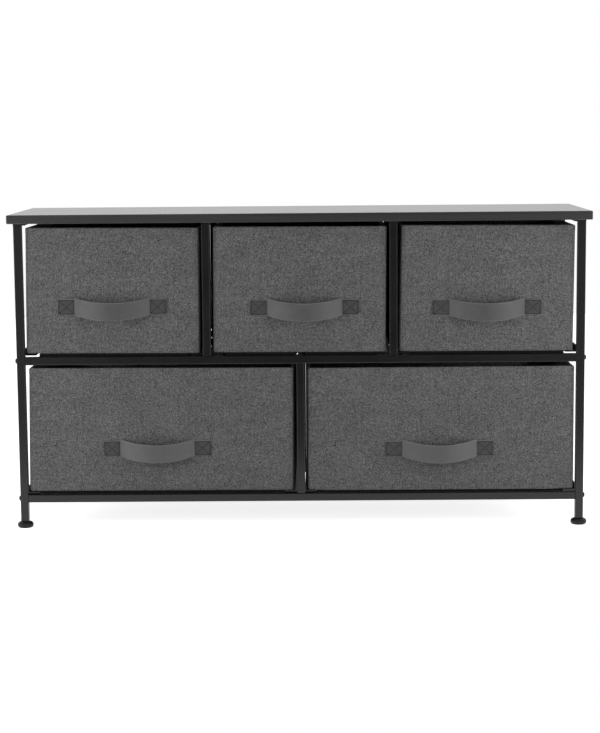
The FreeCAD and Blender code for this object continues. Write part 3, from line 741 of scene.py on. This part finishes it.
class Strap:
    """The line of a strap handle: flat ends and a bowed loop that droops in the middle."""

    def __init__(self, drawer):
        self.drawer = drawer
        low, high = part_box(f"{drawer.name}_drawer_handle")
        self.middle = Vector(((low.x + high.x) / 2, high.y, high.z - STRAP_WIDTH / 2))
        self.reach = math.hypot(STRAP_BOW, STRAP_DROOP)
        self.bend = 2 * math.atan(2 * self.reach / STRAP_SPAN)
        self.bow = STRAP_SPAN / 2 / math.sin(self.bend) - STRAP_ROOT
        self.out = Vector((0, -STRAP_BOW, -STRAP_DROOP)) / self.reach

    def line(self, across):
        """(distance out, slope) at a place across the strap from its middle."""
        side = math.copysign(1, across)
        away = abs(across)
        if away >= STRAP_SPAN / 2:
            return 0.0, 0.0
        root_end = STRAP_SPAN / 2 - STRAP_ROOT * math.sin(self.bend)
        if away > root_end:
            run = STRAP_SPAN / 2 - away
            fall = math.sqrt(STRAP_ROOT ** 2 - run ** 2)
            return STRAP_ROOT - fall, -side * run / fall
        fall = math.sqrt(self.bow ** 2 - away ** 2)
        return self.reach - self.bow + fall, -side * away / fall

    def width(self, across):
        """The strap's width, which is narrower on its sewn ends."""
        away = abs(across) / (STRAP_SPAN / 2)
        loop = STRAP_MIDDLE_WIDTH + (STRAP_WIDTH - STRAP_MIDDLE_WIDTH) * away ** 2
        return STRAP_TAB_WIDTH + (loop - STRAP_TAB_WIDTH) * loop_share(across)

    def lift(self, across):
        """How far the ends of the loop stand above its sewn ends."""
        away = abs(across) / (STRAP_SPAN / 2)
        return STRAP_LIFT * away ** 2 * loop_share(across)

    def dip(self, across, up):
        """How far the stitching draws in a place on a flat end."""
        wide, tall = STITCH_BOX
        along = abs(across) - STRAP_SPAN / 2 - STITCH_INSET - wide / 2
        rise = up * self.width(across) / 2
        off_box = max(abs(along) - wide / 2, abs(rise) - tall / 2)
        off_cross = abs(abs(rise) * wide - abs(along) * tall) / math.hypot(wide, tall)
        off_seam = min(abs(off_box), off_cross) if off_box < 0 else off_box
        return STITCH_DIP * (1 - smooth_step(off_seam / STITCH_DIP_REACH))

    def point(self, across, up, thick):
        """A place on the strap: across it, up its width as a share from -1 to 1, and off its back."""
        out, slope = self.line(across)
        normal = Vector((-slope, 1)).normalized()
        place = self.middle + self.out * (out + normal.y * thick)
        place.x += across + normal.x * thick
        place.z += self.lift(across) + up * self.width(across) / 2
        skin = Vector((self.middle.x + across, self.drawer.low.y, place.z))
        if abs(across) >= STRAP_SPAN / 2:
            place.y -= self.drawer.puff(skin, FRONT)
        return place


def strap_section(edge):
    """(share of the half width, share of the thickness) round a strap, with rounded edges."""
    rounded = ((1 - edge, 1.0), (1 - edge * 0.3, 0.85), (1, 0.5), (1 - edge * 0.3, 0.15), (1 - edge, 0.0))
    flat = [(1 - edge) * (2 * step / STRAP_STEPS - 1) for step in range(1, STRAP_STEPS)]
    section = [(up, 1.0) for up in flat]
    section += rounded
    section += [(up, 0.0) for up in reversed(flat)]
    section += [(-up, share) for up, share in reversed(rounded)]
    return section


def strap_stations():
    """Places along a strap, closer together on its sewn ends and where it leaves the drawer."""
    half = STRAP_SPAN / 2
    ends = [half + STRAP_TAB * step / STRAP_STEPS for step in range(STRAP_STEPS, 0, -1)]
    turns = [math.pi / 4 * step / ROOT_STEPS for step in range(ROOT_STEPS + 1)]
    root = [half - STRAP_ROOT * math.sin(turn) for turn in turns]
    loop = [root[-1] * step / LOOP_STEPS for step in range(LOOP_STEPS - 1, 0, -1)]
    right = ends + root + loop
    return [-place for place in right] + [0.0] + list(reversed(right))


def strap_handle(drawer):
    """A strap bowed between two ends that are sewn flat, with its stitches."""
    strap = Strap(drawer)
    edge_share = STRAP_EDGE / (STRAP_WIDTH / 2)
    section = strap_section(edge_share)
    rings = []
    for across in strap_stations():
        ring = []
        for up, share in section:
            thick = share * STRAP_THICKNESS
            if abs(across) > STRAP_SPAN / 2 and share == 1:
                thick -= strap.dip(across, up)
            ring.append(strap.point(across, up, thick))
        rings.append(ring)
    shape = Shape()
    shape.loft(rings)
    made = new_piece(f"{drawer.name}_drawer_strap", shape, drawer.body, "grey_strap")
    made.data.materials.append(SEWN_STRAP)
    # The rounded edge faces take the lighter grey, a painted highlight along the strap's edges
    made.data.materials.append(PAINTED_EDGE_HIGHLIGHT)
    sewn_index, highlight_index = 1, 2
    for index, face in enumerate(made.data.polygons):
        up = (section[index % len(section)][0] + section[(index + 1) % len(section)][0]) / 2
        if abs(up) > 1 - edge_share:
            face.material_index = highlight_index
        elif abs(face.center.x - strap.middle.x) > STRAP_SPAN / 2:
            face.material_index = sewn_index
    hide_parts(f"{drawer.name}_drawer_handle")
    strap_stitches(drawer, strap)


def strap_stitches(drawer, strap):
    """A box with a cross sewn through each flat end."""
    shape = Shape()
    wide, tall = STITCH_BOX
    top = tall / STRAP_TAB_WIDTH
    for side in (-1, 1):
        inner = side * (STRAP_SPAN / 2 + STITCH_INSET)
        outer = inner + side * wide
        seams = (
            ((inner, -top), (outer, -top)), ((outer, -top), (outer, top)),
            ((outer, top), (inner, top)), ((inner, top), (inner, -top)),
            ((inner, -top), (outer, top)), ((inner, top), (outer, -top)),
        )
        for start, end in seams:
            sew(shape, strap, start, end)
    new_piece(f"{drawer.name}_drawer_strap_stitches", shape, drawer.body, "grey_strap", DARK_THREAD)


def sew(shape, strap, start, end):
    """Stitches along a straight seam between two (across, up) places on a strap."""
    thick = STRAP_THICKNESS - STITCH_DIP
    first = strap.point(*start, thick)
    last = strap.point(*end, thick)
    count = max(1, round((last - first).length / STITCH_PITCH))
    half = STITCH_LENGTH / STITCH_PITCH / 2
    for index in range(count):
        begin = first.lerp(last, (index + 0.5 - half) / count)
        finish = first.lerp(last, (index + 0.5 + half) / count)
        stitch(shape, begin, finish, FRONT, STITCH_RADIUS)


def block(shape, low, high):
    """Adds a box between two corners."""
    rings = []
    for level in (low.z, high.z):
        rings.append([Vector((low.x, low.y, level)), Vector((high.x, low.y, level)),
                      Vector((high.x, high.y, level)), Vector((low.x, high.y, level))])
    shape.loft(rings)


def runner_lips():
    """The turned-down ends of the lower runners, which stand on the bottom rails."""
    shape = Shape()
    post_low, post_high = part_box("lower_divider_front_post")
    rail_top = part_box("front_bottom_rail")[1].z
    for node, setback in LIP_SETBACK.items():
        low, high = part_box(node)
        left, right = low.x - LIP_SPARE, high.x + LIP_SPARE
        spans = {
            "left_lower_runner": ((low.x, right),),
            "right_lower_runner": ((left, high.x),),
            "lower_divider_runners": ((left, post_low.x), (post_high.x, right)),
        }
        for start, end in spans[node]:
            for near in (low.y + setback, high.y - setback - LIP_THICKNESS):
                block(shape, Vector((start, near, rail_top)), Vector((end, near + LIP_THICKNESS, low.z)))
    new_piece("lower_runner_lips", shape, "frame", "black_powder_coat")


def turned(profile, place, lay=Matrix.Identity(3)):
    """Rings of (radius, height) pairs about an upright axis through a place, then laid over."""
    rings = []
    for radius, height in profile:
        ring = []
        for step in range(RING):
            turn = 2 * math.pi * step / RING
            ring.append(place + lay @ Vector((radius * math.cos(turn), radius * math.sin(turn), height)))
        rings.append(ring)
    return rings


def hexagon_radius(turn):
    """How far the flats of the socket lie from its middle, in one direction."""
    half = math.pi / 6
    return SOCKET_RADIUS * math.cos(half) / math.cos((turn + half) % (math.pi / 3) - half)


def socket_ring(seat, lay, level):
    """The hexagon of a bolt's socket at one level above its seat."""
    ring = []
    for step in range(RING):
        turn = 2 * math.pi * step / RING
        reach = hexagon_radius(turn)
        ring.append(seat + lay @ Vector((reach * math.cos(turn), reach * math.sin(turn), level)))
    return ring


def frame_bolts():
    """Button-head bolts with hexagon sockets, through the legs into the ends of the rails."""
    shape = Shape()
    profile = [
        (BOLT_RADIUS - BOLT_CHAMFER, -BOLT_SHANK),
        (BOLT_RADIUS, BOLT_CHAMFER - BOLT_SHANK),
        (BOLT_RADIUS, 0),
    ]
    profile += [(radius * MM, height * MM) for radius, height in BOLT_HEAD]
    head_top = profile[-1][1]
    for side, way in (("left", -1), ("right", 1)):
        lay = Vector((way, 0, 0)).to_track_quat("Z", "Y").to_matrix()
        for row in ("front", "rear"):
            low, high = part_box(f"{side}_{row}_post")
            seat = Vector((low.x if way < 0 else high.x, (low.y + high.y) / 2, 0))
            for rail in ("mid", "bottom"):
                rail_low, rail_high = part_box(f"{row}_{rail}_rail")
                seat.z = (rail_low.z + rail_high.z) / 2
                rings = turned(profile, seat, lay)
                rings += [socket_ring(seat, lay, level) for level in (head_top, SOCKET_FLOOR)]
                shape.loft(rings)
    made = new_piece("leg_bolts", shape, "frame", "blackened_steel")
    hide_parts("frame_bolts")


def foot(name):
    """A moulded round pad that swells to a dome, on a threaded stud."""
    low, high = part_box(f"{name}_pad")
    middle = (low + high) / 2
    place = Vector((middle.x, middle.y, low.z))
    wider = (high.x - low.x) / 2 / max(reach for reach, _ in PAD_PROFILE)
    taller = (high.z - low.z) / max(level for _, level in PAD_PROFILE)
    profile = [(reach * wider, level * taller) for reach, level in PAD_PROFILE]
    shape = Shape()
    shape.loft(turned(profile, place))
    made = new_piece(f"{name}_moulded_pad", shape, f"{name}_pad", "black_plastic")
    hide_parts(f"{name}_pad")

    low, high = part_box(f"{name}_stud")
    rows = round((high.z - low.z) / STUD_PITCH * STUD_ROWS_PER_TURN)
    rings = []
    for row in range(rows + 1):
        level = low.z + (high.z - low.z) * row / rows
        taper = min(1, (high.z - level) / STUD_PITCH, (level - low.z) / STUD_PITCH)
        ring = []
        for step in range(STUD_STEPS):
            turn = 2 * math.pi * step / STUD_STEPS
            phase = ((level - low.z) / STUD_PITCH - step / STUD_STEPS) % 1
            reach = STUD_CREST - STUD_DEPTH * (1 - taper * abs(2 * phase - 1))
            ring.append(Vector((middle.x + reach * math.cos(turn), middle.y + reach * math.sin(turn), level)))
        rings.append(ring)
    shape = Shape()
    shape.loft(rings)
    made = new_piece(f"{name}_threaded_stud", shape, f"{name}_stud", "zinc_steel")
    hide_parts(f"{name}_stud")


def background_rays(tree):
    """Two factors: one for rays from the camera, one for mirrored and refracted rays."""
    path = add(tree, "LightPath", {})
    mirrored = math_node(tree, "MAXIMUM", path.outputs["Is Glossy Ray"], path.outputs["Is Transmission Ray"])
    return path.outputs["Is Camera Ray"], mirrored


def floor():
    """A white paper sweep that keeps the shadow."""
    mesh = bpy.data.meshes.new("floor")
    (left, right), (near, far) = FLOOR_ACROSS, FLOOR_ALONG
    mesh.from_pydata([(left, near, 0), (right, near, 0), (right, far, 0), (left, far, 0)], [], [(0, 1, 2, 3)])
    made = bpy.data.objects.new("floor", mesh)
    bpy.context.scene.collection.objects.link(made)
    material, tree, shader = new_material("floor")
    camera_ray, mirrored = background_rays(tree)
    seen = math_node(tree, "MAXIMUM", camera_ray, mirrored)
    set_shader(tree, shader, Base_Color=grey(FLOOR_GREY), Roughness=0.9, Specular_IOR_Level=0.0,
               Emission_Color=grey(1.0), Emission_Strength=math_node(tree, "MULTIPLY", seen, FLOOR_GLOW))
    mesh.materials.append(material)


def world_light():
    """A studio that is white behind the object, and dim in front of it between two lit sides."""
    world = bpy.data.worlds.new("studio")
    bpy.context.scene.world = world
    world.use_nodes = True
    tree = world.node_tree
    camera_ray, mirrored = background_rays(tree)
    way = add(tree, "SeparateXYZ", {"Vector": add(tree, "TexCoord", {}).outputs["Generated"]})
    aside = math_node(tree, "ABSOLUTE", way.outputs[0])
    sides = add(tree, "MapRange", {"Value": aside, "From Min": SIDE_RUN[0], "From Max": SIDE_RUN[1],
                                   "To Max": SIDE_LEVEL})
    front = math_node(tree, "MULTIPLY", sides.outputs[0], from_to(tree, mirrored, FRONT_SHARE, 1.0))
    shade = add(tree, "MapRange", {"Value": way.outputs[1], "From Min": REAR_RUN[0], "From Max": REAR_RUN[1],
                                   "To Min": front, "To Max": REAR_LEVEL})
    strength = math_node(tree, "MAXIMUM", camera_ray, shade.outputs[0])
    tree.links.new(strength, tree.nodes["Background"].inputs["Strength"])
    tree.nodes["Background"].inputs["Color"].default_value = grey(1.0)


def softbox(name, place, aim, size, watts):
    """A lamp that lights the cloth but isn't mirrored in the board and the frame."""
    lamp = bpy.data.lights.new(name, "AREA")
    lamp.shape = "RECTANGLE"
    lamp.size, lamp.size_y = size
    lamp.energy = watts
    made = bpy.data.objects.new(name, lamp)
    made.location = place
    made.rotation_euler = (Vector(aim) - Vector(place)).to_track_quat("-Z", "Y").to_euler()
    made.visible_glossy = False
    bpy.context.scene.collection.objects.link(made)


def camera():
    """The camera that was fitted to the photograph."""
    lens = bpy.data.cameras.new("camera")
    lens.sensor_width = SENSOR_MM
    lens.lens = FOCAL_PIXELS / IMAGE_HEIGHT * SENSOR_MM
    made = bpy.data.objects.new("camera", lens)
    turn = Matrix.Rotation(CAMERA_HEADING, 4, "Z")
    tilt = Matrix.Rotation(math.pi / 2 - CAMERA_DIP, 4, "X")
    roll = Matrix.Rotation(CAMERA_ROLL, 4, "Z")
    made.matrix_world = Matrix.Translation(CAMERA_PLACE) @ turn @ tilt @ roll
    bpy.context.scene.collection.objects.link(made)
    bpy.context.scene.camera = made


def studio():
    floor()
    world_light()
    for name, place, aim, size, watts in SOFTBOXES:
        softbox(name, place, aim, size, watts)
    camera()
    bpy.context.scene.view_settings.view_transform = "Standard"


dress_nodes()
for drawer_name in STRAY:
    cloth_box = Drawer(drawer_name)
    drawer_cloth(cloth_box)
    dark_shade_strip(cloth_box)
    stiffeners(cloth_box, "wall_boards")
    stiffeners(cloth_box, "base_board")
    hem_stitches(cloth_box)
    strap_handle(cloth_box)
runner_lips()
frame_bolts()
for foot_side in ("left", "right"):
    for foot_row in ("front", "rear"):
        foot(f"{foot_side}_{foot_row}_foot")
studio()
